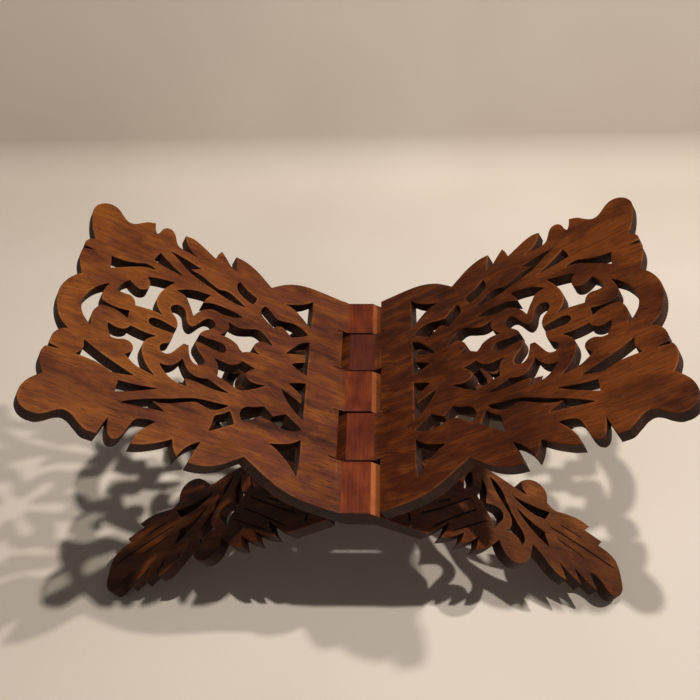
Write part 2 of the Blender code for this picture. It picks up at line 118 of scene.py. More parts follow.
# Studio, in metres and degrees.
SWEEP_FRONT = -1.6
SWEEP_BEND = 0.435         # where the paper leaves the table
SWEEP_RADIUS = 0.045
SWEEP_LEAN = 88.0
SWEEP_RISE = 0.195
SWEEP_STEPS = 16
SWEEP_HALF = 1.8
CAMERA_PLACE = (0.0200, -0.4133, 0.4599)   # from the hinge's middle
CAMERA_DOWN = 44.49
CAMERA_LEFT = 3.57
CAMERA_TILT = -2.71
CAMERA_LENS = 43.71
CAMERA_SENSOR = 36.0
CAMERA_NEAREST = 0.01

# Each lamp's place from the hinge's middle, its power in watts, its width and its colour.
LAMPS = {
    "overhead": ((0.06, -0.06, 1.30), 11.0, 0.04, "FFF6EC"),
    "from_right": ((0.95, 0.15, 1.15), 12.5, 0.045, "FFF6EC"),
    "fill_from_front": ((-0.2, -1.4, 0.9), 0.9, 1.2, "FFF8EE"),
}
PAPER_CLOUDS = 3.0         # per metre: faint patches a third of a metre wide
PAPER_TOOTH = 900.0        # per metre: 1.1 mm, coarser than real paper, so that it shows
ROOM_COLOUR = "FBF1E4"
ROOM_LIGHT = 0.1

# The nominal drawing that the fretwork outlines below are written on.
DRAWN_WIDTH = 202.0
DRAWN_WING = 221.0
DRAWN_LEG = 213.0
DRAWN_WINDOW = 16.5

# What follows from those sizes.
LEAF = BOARD_THICKNESS / 2
HALF_GAP = LEAF_GAP / 2
HALF_WIDTH = BOARD_WIDTH / 2
FOLD = 90.0 - WING_SLOPE                               # turn of each half from folded to open
STOP_REACH = LEAF * math.tan(math.radians(FOLD))       # hinge axis to where the leaves meet
WINDOW = STOP_REACH + STOP_GAP                         # hinge axis to the edge of a window
KNUCKLE_REACH = STOP_REACH - KNUCKLE_SETBACK           # where a flat top meets its own wing
HINGE = Vector(frame["joints"][0]["pos_m"])

SHARP = True   # marks a corner of an outline; the points between two corners are one smooth curve

# Edge of a wing, from the front of the hinge outwards, along the end and back to the hinge.
WING_EDGE = [
    (16.5, -101, SHARP), (30, -101), (44, -99.8), (55, -96.8), (65, -92), (73, -87),
    (81, -82.3, SHARP), (87, -87.3), (94, -93.3), (102, -97.8), (109, -99.8),
    (115.5, -100.3, SHARP), (113.3, -92), (110.3, -82, SHARP), (115.5, -86.5), (119.8, -92),
    (123, -99, SHARP), (126, -93.5), (127.7, -87, SHARP), (132, -90.5), (138, -94.5), (145, -98.3),
    (151.3, -100.3, SHARP), (149.8, -93), (146, -86), (140, -78.5, SHARP), (146.5, -79.2),
    (151.8, -81.5), (154.5, -87), (156.3, -93.5), (158.7, -99), (162.3, -101), (165.3, -99),
    (167, -94), (168, -87, SHARP), (169.6, -93), (171.8, -101, SHARP), (178.5, -100.8),
    (184, -97), (188.7, -93.3), (193, -92), (197, -93.8), (201.3, -97.7), (206, -100.7),
    (211.3, -101), (216.3, -98.8), (219.7, -94), (220.6, -87.5), (218.8, -80.5), (215.3, -75),
    (211.6, -70.8, SHARP), (214.2, -67), (216.6, -61), (217.2, -55), (216, -50.2, SHARP),
    (206.5, -48.6, SHARP), (214.2, -47.4, SHARP), (214.8, -42), (214, -37), (211.2, -32.6),
    (207, -30, SHARP), (212.4, -26), (217, -19), (220, -10), (221, 0), (219.6, 8), (216.6, 15),
    (212, 21, SHARP), (214, 26.5), (216.2, 33), (217.2, 39.5), (217, 45.3, SHARP),
    (208, 47.6, SHARP), (216.5, 48.4, SHARP), (217, 52.6), (215, 56.3), (211.8, 58.5, SHARP),
    (214.8, 65), (217.8, 74), (219.8, 84), (220, 91), (217.2, 96.8), (212.5, 100.4), (207, 100.7),
    (202.5, 97.8), (198.5, 93.2), (194.5, 90), (190.5, 90.2), (186, 94), (181.5, 98.3),
    (175.6, 100.5, SHARP), (174.4, 94), (172.6, 89.6, SHARP), (171, 92.5), (169.3, 98),
    (166, 101), (162.4, 100.4), (159.6, 96.8), (157.6, 91), (155.4, 86.4), (151, 84), (145.5, 83.5),
    (138, 82, SHARP), (144, 85.6), (148.7, 91), (152, 100.4, SHARP), (145.8, 100.6), (139, 97.6),
    (132, 93), (125.8, 89, SHARP), (124.7, 95), (122.4, 99.9, SHARP), (118.6, 95),
    (113.7, 88, SHARP), (108.5, 83.8, SHARP), (109.4, 92), (110.8, 100.3, SHARP), (104, 99.8),
    (97, 97), (90, 92.4), (84.5, 87.4), (79, 82.5, SHARP), (73, 88.3), (66, 93.8), (57, 98.2),
    (47, 100.5), (34, 101), (16.5, 101, SHARP),
]

# Openings of a wing's back half.
WING_BACK_HOLES = {
    "hinge_triangle": [
        (43.5, 86, SHARP), (50, 79.5), (58, 74.3), (66, 70.8, SHARP), (58, 68.3), (50, 61.5),
        (43.5, 54.5, SHARP)],
    "bean": [
        (45, 47, SHARP), (51, 51.5), (58, 53), (65, 51.6), (71, 51), (76, 55.3), (81, 60, SHARP),
        (83.6, 56.5), (84, 50.5), (79.5, 45), (73, 40.5, SHARP), (70, 44), (66, 44.8), (62, 41.3),
        (58.5, 38, SHARP), (51.5, 42)],
    "fan": [
        (43.5, 40, SHARP), (50, 35.8), (55, 29.5), (61.5, 19.6, SHARP), (53.5, 22.8),
        (45.8, 26, SHARP), (45.6, 18, SHARP), (50.5, 15.6), (56.2, 11.5, SHARP), (51, 8.6),
        (43.5, 5.5, SHARP)],
    "ribbon": [
        (71.5, 21.5, SHARP), (77.5, 28.5), (84.5, 32.3), (92, 29.2), (98.5, 27), (107, 29, SHARP),
        (105.7, 23.5), (107.3, 18), (111.5, 13.5, SHARP), (104.5, 13.2), (98.5, 10.7), (95.6, 7),
        (93.3, 5, SHARP), (88, 8), (80, 8.6, SHARP), (85.2, 12.5), (85, 18), (80, 22.6)],
    "lens_and_kite": [
        (97, 38.5, SHARP), (104, 40.8), (113, 41.4), (121, 40.8), (128, 37.6, SHARP), (126.6, 42.5),
        (123.5, 48.5, SHARP), (131.5, 47.6), (140, 45.2), (148.5, 39.5, SHARP), (141.5, 37.6),
        (137, 31), (132.5, 21.5, SHARP), (129.7, 27), (125.5, 32), (119.5, 34.8), (112.5, 33.8),
        (104.5, 35.2)],
    "hook": [
        (150.5, 47, SHARP), (158, 45.5), (165, 43.7), (170, 41.5, SHARP), (167.3, 37.5),
        (166.8, 32.5), (168.8, 28.8), (172.5, 27.4), (176.5, 28.8), (180.5, 32, SHARP),
        (183.8, 27.5), (186.5, 18.2, SHARP), (182, 17.6), (177.3, 18), (174, 15.5),
        (172, 10.5, SHARP), (166, 11.4), (159.5, 12), (152.5, 11, SHARP), (157, 15.5),
        (159.4, 21.5), (159.2, 28.5), (157.2, 35), (154.3, 41)],
    "leaf_vein": [
        (96, 50, SHARP), (103, 54.6), (108.5, 58), (113.5, 59), (118.5, 57.8), (125, 60.3),
        (133.5, 64.7), (142.3, 66.3, SHARP), (138.5, 69), (134, 71.3, SHARP), (143, 74), (152, 76),
        (160.5, 77.5, SHARP), (152.5, 71.8), (144.5, 64.8), (135, 59.6), (124, 55.6), (112, 51.2),
        (103, 49.6)],
    "stem_wedge": [
        (145, 56, SHARP), (153, 60.8), (160, 66), (166, 71, SHARP), (168, 66), (169, 61, SHARP),
        (161, 58.6)],
    "end_slot": [
        (165, 51.5, SHARP), (169.5, 53.8), (174.5, 54, SHARP), (181, 50.7), (188.5, 48.6),
        (197.5, 48, SHARP), (196.3, 42.5), (195.5, 36.5, SHARP), (188, 41.6), (180.5, 46.6),
        (173.5, 50.3)],
    "rhomb": [
        (89, 64.5, SHARP), (95.5, 67.7), (100, 71), (104, 75, SHARP), (105.6, 70.5),
        (104.6, 64.3), (99.5, 59.5), (91.7, 56, SHARP), (89.6, 60.3)],
}

# Openings of a wing's front half, sawn by hand to the same drawing and so a little different.
WING_FRONT_HOLES = {
    "hinge_triangle": [
        (43.5, -53, SHARP), (50, -58.8), (57.5, -62.3), (65.5, -65, SHARP), (58, -69.3),
        (51, -75.7), (44.5, -84, SHARP), (43.5, -70)],
    "bean": [
        (43.5, -44.5, SHARP), (49, -48), (55.5, -49.5), (62, -48.4), (68, -46.2), (74.5, -46.8),
        (80.3, -51), (85, -55.5, SHARP), (88, -50), (87.2, -45), (84, -41.6), (79, -39.6),
        (72, -36, SHARP), (68.5, -38.8), (65, -42, SHARP), (60.3, -38.8), (56, -36, SHARP),
        (50, -40)],
    "fan": [
        (43.5, -1.5, SHARP), (50, -4.3), (56.5, -7.5, SHARP), (51.5, -10.8), (45.8, -14.5, SHARP),
        (45.8, -22, SHARP), (54, -18), (61.5, -15, SHARP), (58, -21.5), (53, -28),
        (43.5, -36, SHARP)],
    "comma": [
        (82.3, -5.4, SHARP), (87.3, -4.4), (92, -3, SHARP), (94.6, -7), (99.3, -10.2),
        (105.5, -10.5), (112.5, -9.5, SHARP), (109.3, -13.5), (107.8, -18.5), (107.6, -24.8, SHARP),
        (100.5, -26.6), (95.3, -28.7), (89.8, -29.4), (83.8, -26), (78, -21.5), (73, -17, SHARP),
        (80, -19), (86, -18), (88.8, -14), (86.3, -9.3)],
    "lens_and_kite": [
        (97.5, -35.5, SHARP), (105, -33.4), (113.5, -30, SHARP), (120.5, -31.8), (127, -29.7),
        (133, -20.5, SHARP), (136.3, -27), (141, -30.9), (147, -31.6, SHARP), (143.8, -35.8),
        (139.5, -39.5), (134, -42), (126, -42.5, SHARP), (127.4, -39.8), (128.5, -36.6, SHARP),
        (121.5, -36), (113.5, -37), (105, -37)],
    "hook": [
        (153, -9.5, SHARP), (160, -10), (166, -9.6), (171.5, -8.6, SHARP), (172.6, -11.8),
        (175.7, -14.3), (179.5, -14.9), (185.5, -13.2, SHARP), (184.2, -18.5), (181, -24.5, SHARP),
        (177.2, -24.4), (173.2, -22.4), (169, -22.7), (166, -25.3), (165.7, -29.7),
        (169.5, -34.5, SHARP), (165.3, -37.8), (160, -40.8), (147.5, -43.5, SHARP), (153.3, -38.5),
        (157.8, -32), (160.4, -25), (160.2, -18.3), (157.4, -13.4)],
    "leaf_vein": [
        (96.5, -46, SHARP), (105, -47.4), (112.5, -48.5), (119.5, -50), (126.5, -53), (133, -56.3),
        (141, -60.2), (149, -63.8), (156.5, -68), (164, -73, SHARP), (155, -71.8), (146, -70.3),
        (136, -68.7, SHARP), (140.5, -66.4), (145.3, -63.8, SHARP), (139, -62.7), (131.5, -59.4),
        (124, -55.2), (118, -52.6), (112.5, -53.8), (106, -54.1), (100.7, -50.6)],
    "stem_wedge": [
        (143.5, -52.5, SHARP), (152, -54.6), (160.5, -56.2), (168.5, -57, SHARP),
        (168.5, -66.5, SHARP), (160.3, -62.4), (152, -57.8)],
    "end_slot": [
        (160, -49, SHARP), (170.5, -45.5), (182.5, -41), (196, -34.5, SHARP), (194.7, -39.5),
        (195, -43.5), (198, -48.2, SHARP), (190, -48.3), (182.5, -49.2), (174, -52.5, SHARP),
        (167, -51.2)],
    "rhomb": [
        (95, -50, SHARP), (98.5, -53.5), (104.3, -58, SHARP), (105.2, -64), (106.5, -72, SHARP),
        (100.3, -67), (91, -59.5, SHARP), (92.6, -55)],
}

# Openings on a wing's middle line.
WING_MIDDLE_HOLES = {
    "star": [
        (118.8, 24.6), (116.3, 22.6), (116, 19.8), (118.3, 15.8), (122.4, 12), (124.7, 9),
        (125.6, 6, SHARP), (119, 5.5), (112.5, 6), (107, 5.3), (105.1, 1.8), (106.3, -1.9),
        (111.5, -2.9), (118.5, -1.6), (127, -0.6, SHARP), (126.6, -5), (123.8, -9), (119.8, -13.4),
        (118.2, -17.2), (120.3, -20.4), (124, -21.3), (127.5, -18.7), (129.5, -14),
        (131, -7.2, SHARP), (134.6, -7.2, SHARP), (137.8, -13), (141.3, -19.3), (144.2, -21.6),
        (147.8, -21), (149.5, -17.4), (147.9, -13.9), (144.3, -11.4), (143, -7.5),
        (142.6, -1.7, SHARP), (151, -2.1), (158.6, -1.8), (161, 1.2), (160, 4.7), (156, 6.1),
        (149.5, 5.3), (141.6, 3.4, SHARP), (141.6, 8), (143.4, 12.6), (147, 16.5), (149, 20.6),
        (147.6, 24.5), (143.8, 26.2), (139.8, 24.8), (138, 21), (136.6, 15.8), (134.4, 12),
        (131.9, 11), (129.7, 12.8), (127.2, 17), (124.6, 21.4), (121.8, 24.4)],
    "crescent": [
        (192.5, 22, SHARP), (198.4, 15.8), (202.3, 8.8), (204.6, 1.5), (205, -4.5), (203.3, -11.3),
        (199.8, -16.6), (195, -21.5, SHARP), (196.6, -14.5), (196.6, -7.5), (193.8, -0.5, SHARP),
        (188, 0.4), (181.5, -0.4), (174.5, -3.5, SHARP), (174.8, 3.9, SHARP), (181, 2.5),
        (187.5, 2.6), (193.8, 4.6, SHARP), (195, 9), (194.6, 15)],
}

# Front half of a leg's edge, from the hinge along the front to the foot and in to the arch.
LEG_EDGE = [
    (16.5, -101, SHARP), (47, -101, SHARP), (56, -94.3), (64.5, -86.5, SHARP), (61.5, -94),
    (57, -100.7, SHARP), (67.5, -96.3), (76.5, -90.3, SHARP), (74.8, -95.2), (71.5, -100.7, SHARP),
    (80, -96.6), (88, -90, SHARP), (86.9, -95), (84.5, -100.7, SHARP), (92, -97.8), (99, -92.7),
    (105.3, -86.5, SHARP), (107.2, -92.5), (110.8, -97.7), (116, -100.4), (122, -99.6),
    (127.4, -96.1), (131, -91), (133, -85.8), (134.4, -80.5, SHARP), (140.3, -85.8), (147, -93),
    (153, -98.2), (160, -100.7, SHARP), (156.5, -88, SHARP), (164, -94.6), (173, -101, SHARP),
    (169.5, -88.5, SHARP), (177.5, -95.4), (187, -101, SHARP), (183, -88, SHARP), (188.3, -88.8),
    (193, -93), (197.3, -98.7), (202.5, -101), (208.3, -98.7), (212.3, -92.5, SHARP),
    (213, -86, SHARP), (213, -77, SHARP), (211.5, -70, SHARP), (206, -65), (197, -61.5, SHARP),
    (201, -57, SHARP), (194, -54.2), (186, -51.5, SHARP), (191.5, -47, SHARP), (185, -44),
    (176, -42.7), (167, -42.9), (160, -43.2), (154, -38.5, SHARP), (155.1, -33), (154, -27.6),
    (150.3, -23.6), (145, -22), (138.6, -23), (132, -27, SHARP), (132.3, -32.5),
    (136.5, -38.5, SHARP), (127, -36), (116, -32), (104, -28.6), (92, -26.5), (80, -22.7),
    (70, -14.5), (62, 0, SHARP),
]

# Openings of a leg's front half; the back half mirrors them.
LEG_HOLES = {
    "hinge_triangle": [
        (39, -42, SHARP), (47.5, -49.8), (57, -56.3, SHARP), (48, -60.5), (39, -67, SHARP)],
    "short_slot": [
        (86.5, -35.5, SHARP), (87.2, -42), (85.5, -48.5), (82.5, -53.2, SHARP),
        (79.3, -52.5, SHARP), (80.6, -44.5), (83, -39.3)],
    "paisley": [
        (94.5, -38, SHARP), (97.8, -42), (98.8, -48), (98, -54), (97.6, -59, SHARP), (103, -58.5),
        (108.2, -59.2), (111.2, -62.8), (110.5, -67.8), (106.6, -72.8), (102, -79, SHARP),
        (101.4, -73), (98, -67), (94.3, -61.4), (90.3, -55.5, SHARP), (93.6, -49), (94.9, -43)],
    "long_ess": [
        (102.5, -33, SHARP), (109, -37.5), (113.8, -44.7), (116.6, -53), (119.4, -60), (123.3, -67),
        (127, -73.4), (127.8, -79), (124.8, -84.8, SHARP), (122.3, -79.6), (118, -77.1),
        (112, -76.5, SHARP), (116.8, -72.6), (118.4, -67), (117, -61.3), (113.3, -55.5),
        (108.8, -48.5), (105.3, -41)],
    "inner_wedge": [
        (121, -43, SHARP), (132, -45.6), (144, -46.7), (155, -46.8, SHARP), (149, -55, SHARP),
        (140, -53.9), (130.5, -50)],
    "outer_wedge": [
        (123.5, -52.5, SHARP), (129.5, -57.2), (138, -62.3), (147.5, -66.5, SHARP), (147.8, -71.5),
        (149.5, -78, SHARP), (141, -72.8), (133.4, -66), (127.5, -59.3)],
}

# Veins that the carver's V tool left in the front half of a leg's outer face: the line that each
# follows from the hinge outwards, and its width at both ends.
LEG_VEINS = [
    ([(33, -89.5), (33.6, -97.8)], 1.7, 1.5),
    ([(41.5, -87.5), (56, -78.6), (71, -68.4), (85, -59)], 1.9, 1.3),
    ([(56.5, -73), (62, -69.4), (68, -66.2)], 2.8, 1.2),
    ([(49.5, -95.8), (62, -86), (75, -76.6), (89.5, -67)], 1.7, 1.3),
    ([(66, -93), (76.5, -86.4), (87, -79.8), (97.5, -73.6)], 1.7, 1.2),
    ([(162.5, -55), (172.5, -57.4), (182, -60.5)], 1.6, 1.1),
    ([(151.5, -59.6), (171, -65.2), (190, -71.2), (208.5, -77.8)], 1.5, 1.8),
    ([(157, -68.4), (169, -72.6), (181, -77.6)], 1.6, 1.1),
]

# How far the saw ran past the window edge at each kerf, front to back, and how much it leans.
OVERCUTS = [(6.4, 0.5), (5.2, -0.6), (6.0, 0.4), (5.0, -0.3)]

# For each knuckle, front to back: what the chisel took off beyond the plain section, and how
# dark the stain took.
KNUCKLE_DROPS = (0.35, 0.9, 0.25, 1.1, 0.55)
KNUCKLE_STAINS = (0.0, 0.25, 0.1, 1.0, 0.2)
# Painted highlight on the outer strip of each knuckle, where it faces the lamps on the right.
KNUCKLE_STRIP_HIGHLIGHT = (1.0, 0.0, 0.55, 0.0, 0.75)

FACE, SAWN, CUT = range(3)    # material slots of a half


# ---- outlines ------------------------------------------------------------------------------

def tangents(run):
    """Chord lengths of one smooth run, and its tangents at its points."""
    chords = [(b - a).length for a, b in zip(run, run[1:])]
    inner = [(run[i + 1] - run[i - 1]) / (chords[i] + chords[i - 1])
             for i in range(1, len(run) - 1)]
    if not inner:
        straight = (run[1] - run[0]) / chords[0]
        return chords, [straight, straight]
    first = 1.5 * (run[1] - run[0]) / chords[0] - 0.5 * inner[0]
    last = 1.5 * (run[-1] - run[-2]) / chords[-1] - 0.5 * inner[-1]
    return chords, [first] + inner + [last]


def smooth(run):
    """Points along the curve through a run, without its last point."""
    chords, slopes = tangents(run)
    step = CURVE_STEP if len(run) > 2 else STRAIGHT_STEP
    points = []
    for i, chord in enumerate(chords):
        steps = max(1, round(chord / step))
        for k in range(steps):
            s = k / steps
            start = (1 + 2 * s) * (1 - s) ** 2 * run[i] + s * (1 - s) ** 2 * chord * slopes[i]
            end = s * s * (3 - 2 * s) * run[i + 1] - s * s * (1 - s) * chord * slopes[i + 1]
            points.append(start + end)
    return points


def outline(drawn):
    """A drawn outline from its first corner round to its last point, in short chords."""
    corners = [i for i, point in enumerate(drawn) if len(point) == 3]
    places = [Vector(point[:2]) for point in drawn]
    points = []
    for start, end in zip(corners, corners[1:]):
        points += smooth(places[start:end + 1])
    points.append(places[corners[-1]])
    return points


def closed(drawn):
    """The same drawing started at a corner and brought round to it again."""
    first = next(i for i, point in enumerate(drawn) if len(point) == 3)
    return drawn[first:] + drawn[:first] + [drawn[first]]


def mirrored(drawn):
    """The same outline on the other side of the middle line."""
    return [(point[0], -point[1], *point[2:]) for point in reversed(drawn)]


def placed(points, drawn_reach, reach):
    """Drawing millimetres to the real leaf, kept inside the board's reach and width."""
    along = (reach - WINDOW) / (drawn_reach - DRAWN_WINDOW)
    across = BOARD_WIDTH / DRAWN_WIDTH
    real = []
    for point in points:
        place = max(-HALF_WIDTH, min(HALF_WIDTH, point.y * across))
        real.append(Vector((min(reach, WINDOW + (point.x - DRAWN_WINDOW) * along), place)))
    return real


def wing_drawings():
    """The wing's open edge, and its openings."""
    holes = []
    for group in (WING_BACK_HOLES, WING_FRONT_HOLES, WING_MIDDLE_HOLES):
        holes += group.values()
    return WING_EDGE, holes


def leg_drawings():
    """The leg's open edge with its mirror image, and the openings of both its halves."""
    holes = []
    for hole in LEG_HOLES.values():
        holes += [hole, mirrored(hole)]
    return LEG_EDGE + mirrored(LEG_EDGE)[1:], holes


def clockwise(loop):
    """A hole's loop turned so that the wood lies to the left as the loop runs."""
    area = sum(a.x * b.y - b.x * a.y for a, b in zip(loop, loop[1:] + loop[:1]))
    return loop if area < 0 else loop[::-1]


# ---- the edge along the hinge --------------------------------------------------------------

def kerf_places():
    """Middles of the kerfs between knuckles, from front to back."""
    scale = BOARD_WIDTH / sum(KNUCKLE_LENGTHS)
    places = []
    back = -HALF_WIDTH
    for length in KNUCKLE_LENGTHS[:-1]:
        back += length * scale
        places.append(back)
    return places


def knuckle_spans(owned):
    """Number, front end and back end of each knuckle that a half owns."""
    kerfs = kerf_places()
    fronts = [-HALF_WIDTH] + [place + KNUCKLE_KERF / 2 for place in kerfs]
    backs = [place - KNUCKLE_KERF / 2 for place in kerfs] + [HALF_WIDTH]
    return [(i, fronts[i], backs[i]) for i in range(len(fronts)) if i % 2 == owned]


def ring_places(front, back):
    """Where a knuckle's cross sections stand along the hinge."""
    steps = (0, KNUCKLE_END_ROUNDING, KERF_STAIN)
    return [front + step for step in steps] + [back - step for step in reversed(steps)]


def window_places(front, back):
    """Places along a window that the other half's knuckle fills, from back to front."""
    steps = round((back - front) / STRAIGHT_STEP)
    return [back + (front - back) * k / steps for k in range(1, steps)]


def overcut(place, length, lean):
    """A saw kerf that runs on past a window, from its back side round to its front side."""
    half = OVERCUT_WIDTH / 2
    middle = length / 2
    return [Vector((WINDOW, place + half)),
            Vector((WINDOW + middle, place + half + lean / 2)),
            Vector((WINDOW + length - half, place + half * OVERCUT_END + lean)),
            Vector((WINDOW + length, place + lean)),
            Vector((WINDOW + length - half, place - half * OVERCUT_END + lean)),
            Vector((WINDOW + middle, place - half + lean / 2)),
            Vector((WINDOW, place - half))]


def hinge_edge(owned, lean_side):
    """A leaf's edge along the windows from back to front, with its overcuts.

    Each point comes with the number of the knuckle whose root it belongs to, or None.
    """
    kerfs = kerf_places()
    fronts = [-HALF_WIDTH] + kerfs
    backs = kerfs + [HALF_WIDTH]
    rings = {number: ring_places(front, back) for number, front, back in knuckle_spans(owned)}
    points = []
    for number in reversed(range(len(KNUCKLE_LENGTHS))):
        if number in rings:
            points += [(Vector((WINDOW, place)), number) for place in reversed(rings[number])]
        else:
            places = window_places(fronts[number], backs[number])
            points += [(Vector((WINDOW, place)), None) for place in places]
        if number:
            length, lean = OVERCUTS[number - 1]
            kerf = overcut(kerfs[number - 1], length, lean * lean_side)
            points += [(point, None) for point in kerf]
    return [(point, root) for point, root in points if abs(point.y) < HALF_WIDTH]


def leaf_loops(drawings, drawn_reach, reach, owned, lean_side):
    """A leaf's closed loops, its edge first, and beside each point its knuckle root."""
    edge, holes = drawings
    points = placed(outline(edge), drawn_reach, reach)
    roots = [None] * len(points)
    if not owned:
        roots[0] = 0
        roots[-1] = len(KNUCKLE_LENGTHS) - 1
    for point, root in hinge_edge(owned, lean_side):
        points.append(point)
        roots.append(root)
    loops = [points]
    loops += [clockwise(placed(outline(closed(hole))[:-1], drawn_reach, reach)) for hole in holes]
    return loops, [roots] + [[None] * len(loop) for loop in loops[1:]]


# ---- rounded arrises -----------------------------------------------------------------------

def tree_of(points):
    """A search tree of plane points."""
    tree = kdtree.KDTree(len(points))
    for i, point in enumerate(points):
        tree.insert((point.x, point.y, 0), i)
    tree.balance()
    return tree


def distance_to(tree, point):
    """Distance from a plane point to the nearest point of a tree."""
    return tree.find((point.x, point.y, 0))[2]


def samples(loops, roots=None):
    """Points spaced closely along closed loops, without the chords that are knuckle roots."""
    points = []
    for n, loop in enumerate(loops):
        for i, a in enumerate(loop):
            j = (i + 1) % len(loop)
            if roots and roots[n][i] is not None and roots[n][i] == roots[n][j]:
                continue
            count = max(1, math.ceil((loop[j] - a).length / SAMPLE_STEP))
            points += [a.lerp(loop[j], k / count) for k in range(count)]
    return points


def mitre(before, point, after):
    """The way into the wood that moves both chords at a point by one, and how far it gets."""
    first = (point - before).normalized()
    second = (after - point).normalized()
    left = Vector((-first.y - second.y, first.x + second.x))
    turn = first.x * second.y - first.y * second.x
    longest = MITRE_AT_TIP if turn > 0 else MITRE_AT_NOTCH
    way = left / max(1 + first.dot(second), LEAST_TURN)
    if way.length > longest:
        way = way.normalized() * longest
    return way, max(LEAST_REACH, way.dot(Vector((-first.y, first.x))))


def rounding_at(before, point, after, tree):
    """The mitre at a point, and the largest rounding that fits there."""
    way, reach = mitre(before, point, after)
    radius = ROUNDING
    for near in (before, after):
        chord = point - near
        slide = abs(way.dot(chord.normalized()))
        radius = min(radius, CHORD_SHARE * chord.length / max(slide, LEAST_TURN))
    while radius > LEAST_ROUNDING:
        ahead = point + way * radius * LOOK_AHEAD
        if distance_to(tree, ahead) >= CLEAR_BY * radius * reach:
            break
        radius *= SHRINK
    return way, radius


def loop_rounding(loop, roots, tree):
    """Mitres and radii round a loop: no rounding at a root, and gentle changes elsewhere."""
    count = len(loop)
    ways = []
    radii = []
    for i, point in enumerate(loop):
        way, radius = rounding_at(loop[i - 1], point, loop[(i + 1) % count], tree)
        ways.append(way)
        radii.append(radius if roots[i] is None else 0.0)
    for step in (1, -1):
        for k in range(2 * count):
            here = (k * step) % count
            there = (here + step) % count
            gap = (loop[here] - loop[there]).length
            radii[there] = min(radii[there], radii[here] + TAPER * gap)
    return ways, radii


# ---- flat faces ----------------------------------------------------------------------------

def vein_shape(line, start_width, end_width):
    """A vein's loop on the face, and the line along its bottom."""
    middle = smooth([Vector(point) for point in line]) + [Vector(line[-1])]
    left = []
    right = []
    for i in range(1, len(middle) - 1):
        along = (middle[i + 1] - middle[i - 1]).normalized()
        share = i / (len(middle) - 1)
        taper = min(1, VEIN_TAPER * math.sin(math.pi * share))
        half = taper * (start_width + (end_width - start_width) * share) / 2
        across = Vector((-along.y, along.x)) * half
        left.append(middle[i] + across)
        right.append(middle[i] - across)
    return [middle[0]] + right + [middle[-1]] + left[::-1], middle[1:-1]


def leg_veins():
    """Vein shapes of both halves of a leg's outer face."""
    shapes = []
    for line, start_width, end_width in LEG_VEINS:
        for side in (1, -1):
            drawn = placed([Vector((u, v * side)) for u, v in line], DRAWN_LEG, LEG_REACH)
            shapes.append(vein_shape(drawn, start_width, end_width))
    return shapes


def face_points(loops, ways, tree, clear_of):
    """Points inside a face: a row beside the rim, then an even spread."""
    points = []
    taken = set()
    for loop, mitres in zip(loops, ways):
        for point, way in zip(loop, mitres):
            inside = point + way.normalized() * RIM_ROW
            cell = (round(inside.x), round(inside.y))
            if cell not in taken and distance_to(tree, inside) > NEAR_RIM * RIM_ROW:
                if distance_to(clear_of, inside) > RIM_ROW:
                    taken.add(cell)
                    points.append(inside)
    reach = max(point.x for point in loops[0])
    rows = int(reach / (FACE_STEP * ROW_RATIO)) + 1
    columns = int(BOARD_WIDTH / FACE_STEP) + 1
    for row in range(rows):
        for column in range(columns):
            along = (column + row % 2 / 2) * FACE_STEP - HALF_WIDTH
            inside = Vector((row * FACE_STEP * ROW_RATIO, along))
            if distance_to(tree, inside) > OFF_RIM * RIM_ROW:
                if distance_to(clear_of, inside) > RIM_ROW:
                    points.append(inside)
    return points


def filled(loops, veins, inner):
    """Triangles of a face with its openings left out.

    Returns its points, the depth of each below the face, and the triangles with their slots.
    """
    points = []
    depths = []
    rings = []
    lines = []
    for i, loop in enumerate(loops + [shape for shape, _ in veins]):
        ring = list(range(len(points), len(points) + len(loop)))
        rings.append(ring[::-1] if 0 < i < len(loops) else ring)
        points += loop
        depths += [0.0] * len(loop)
    for _, bottom in veins:
        start = len(points)
        lines += [(i, i + 1) for i in range(start, start + len(bottom) - 1)]
        points += bottom
        depths += [VEIN_DEPTH] * len(bottom)
    points += inner
    depths += [0.0] * len(inner)
    found = geometry.delaunay_2d_cdt(points, lines, rings, 0, CLOSE)
    _, _, triangles, sources, _, owners = found
    holes = set(range(1, len(loops)))
    kept = []
    for triangle, owner in zip(triangles, owners):
        if 0 in owner and not holes & set(owner):
            slot = SAWN if any(ring >= len(loops) for ring in owner) else FACE
            kept.append(([sources[i][0] for i in triangle], slot))
    return points, depths, kept


# ---- the mesh of a half --------------------------------------------------------------------

class Wood:
    """A mesh in the making, with what the finish needs to know at each point."""

    def __init__(self):
        self.points = []
        self.rims = []
        self.stains_and_highlights = []
        self.faces = []
        self.slots = []

    def point(self, x, y, z, rim, stain_and_highlight=0.0):
        """Add a point and return its number."""
        self.points.append((x, y, z))
        self.rims.append(rim)
        self.stains_and_highlights.append(stain_and_highlight)
        return len(self.points) - 1

    def face(self, corners, slot):
        """Add a face."""
        self.faces.append(corners)
        self.slots.append(slot)


def add_rim(made, loop, roots, ways, radii, spot):
    """A loop's wall through the board and the rounded arris at each of its ends.

    spot turns a plane point and its depth below one face, or below the other, into a place.
    """
    count = len(loop)
    rows = []
    for face in (0, 1):
        for share_in, share_down in ARRIS_ROWS:
            row = []
            for point, way, radius in zip(loop, ways, radii):
                place = spot(point + way * radius * share_in, radius * share_down, face)
                row.append(made.point(*place, 0.0))
            rows.append(row)
    order = [rows[0], rows[1], rows[2], rows[5], rows[4], rows[3]]
    for upper, lower in zip(order, order[1:]):
        slot = SAWN if upper is rows[2] else FACE
        for i in range(count):
            j = (i + 1) % count
            if roots[i] is None or roots[j] != roots[i]:
                made.face((upper[i], upper[j], lower[j], lower[i]), slot)


